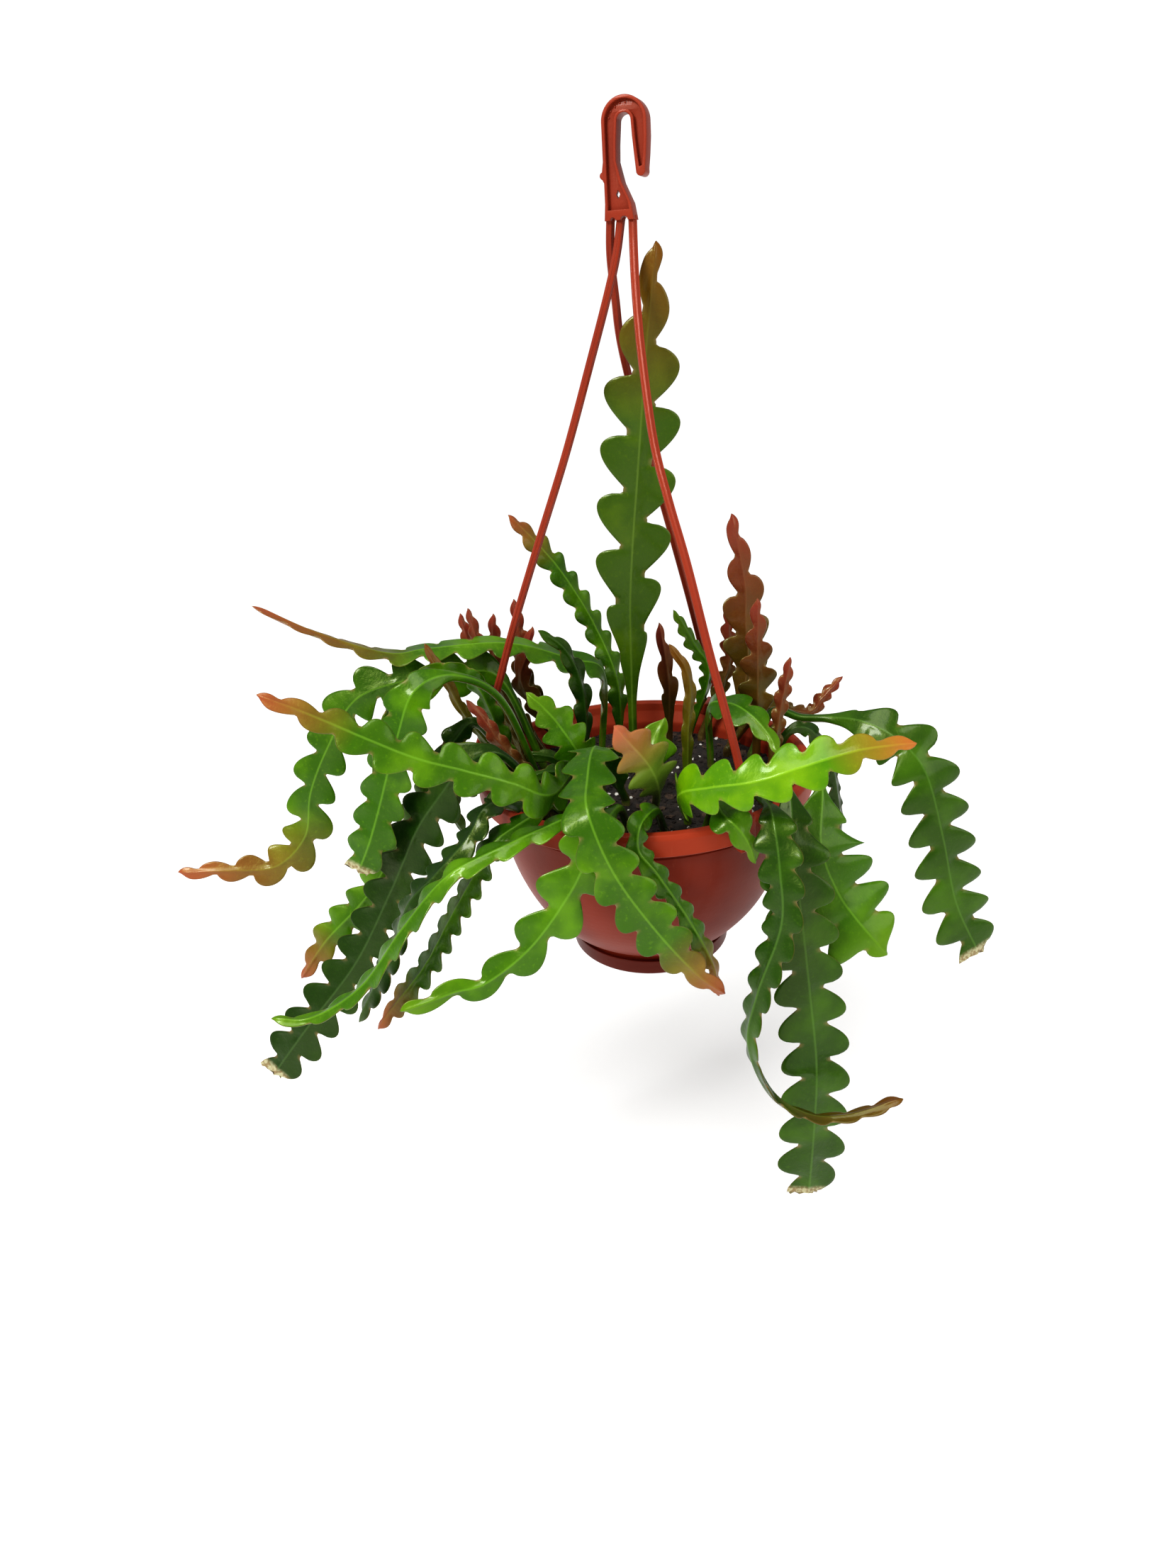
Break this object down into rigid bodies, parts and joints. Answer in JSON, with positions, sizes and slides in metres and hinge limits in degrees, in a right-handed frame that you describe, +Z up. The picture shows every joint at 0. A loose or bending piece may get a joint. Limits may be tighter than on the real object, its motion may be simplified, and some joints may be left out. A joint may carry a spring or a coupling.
{
  "type": "fishbone cactus in a hanging bowl",
  "caption": "Flat zigzag-lobed cactus stems arching and trailing from a round plastic bowl that hangs by a moulded three-strap hook hanger.",
  "frame": {"origin": "on the bowl's axis, at the height of the top of the hook's throat, where the hanger bears on a rail", "axes": "+Z up, -Y the front, +X to the right; the bowl's axis is the Z axis"},
  "size_m": [0.5035, 0.2351, 0.5893],
  "materials": {
    "bowl_plastic": "semi-gloss terracotta-coloured moulded plastic",
    "saucer_plastic": "darker terracotta-coloured plastic",
    "hanger_plastic": "semi-gloss orange-red moulded plastic",
    "potting_mix": "dark damp potting mix with perlite",
    "stem_green": "waxy green stem, some with bronze tips",
    "stem_dark": "older dark green waxy stem",
    "stem_lime": "young glossy lime-green stem",
    "stem_olive": "olive stem turning bronze",
    "stem_bronze": "new bronze-red growth"
  },
  "bodies": {
    "root": {"bowl": "bowl_plastic", "saucer": "saucer_plastic", "hanger": "hanger_plastic", "soil": "potting_mix", "stem_tall": "stem_olive", "stem_left_diagonal": "stem_green", "stem_left_sweep": "stem_green", "stem_left_front": "stem_green", "stem_left_fall": "stem_green", "stem_left_broad": "stem_lime", "stem_left_narrow": "stem_green", "stem_left_dark": "stem_dark", "stem_left_ribbon": "stem_green", "stem_left_drop_a": "stem_dark", "stem_left_drop_b": "stem_green", "stem_front_left": "stem_green", "stem_front_mid": "stem_green", "stem_front_thin": "stem_green", "stem_centre_pink": "stem_green", "stem_right_lime": "stem_lime", "stem_right_arch": "stem_green", "stem_right_long": "stem_green", "stem_right_ribbon": "stem_green", "stem_right_fan": "stem_green", "stem_right_back": "stem_dark", "stem_bronze_tall": "stem_bronze", "stem_bronze_mid": "stem_bronze", "stem_bronze_thin": "stem_bronze", "stem_bronze_low": "stem_bronze", "stem_bronze_lean": "stem_bronze", "stem_bud_brown": "stem_bronze", "stem_bud_thin": "stem_olive", "stem_bud_green": "stem_green", "stem_red_a": "stem_bronze", "stem_red_b": "stem_bronze", "stem_red_c": "stem_bronze", "stem_red_d": "stem_bronze", "stem_red_e": "stem_bronze", "stem_stalk_brown": "stem_olive", "stem_shoot_orange": "stem_bronze", "stem_centre_left": "stem_green", "stem_dark_hook": "stem_dark", "stem_centre_leaf": "stem_green", "stem_right_inner": "stem_green", "stem_front_right": "stem_green", "stem_left_back": "stem_dark", "stem_inner_a": "stem_dark", "stem_inner_b": "stem_dark", "stem_left_rim": "stem_dark", "stem_left_hidden": "stem_green"}
  },
  "joints": []
}
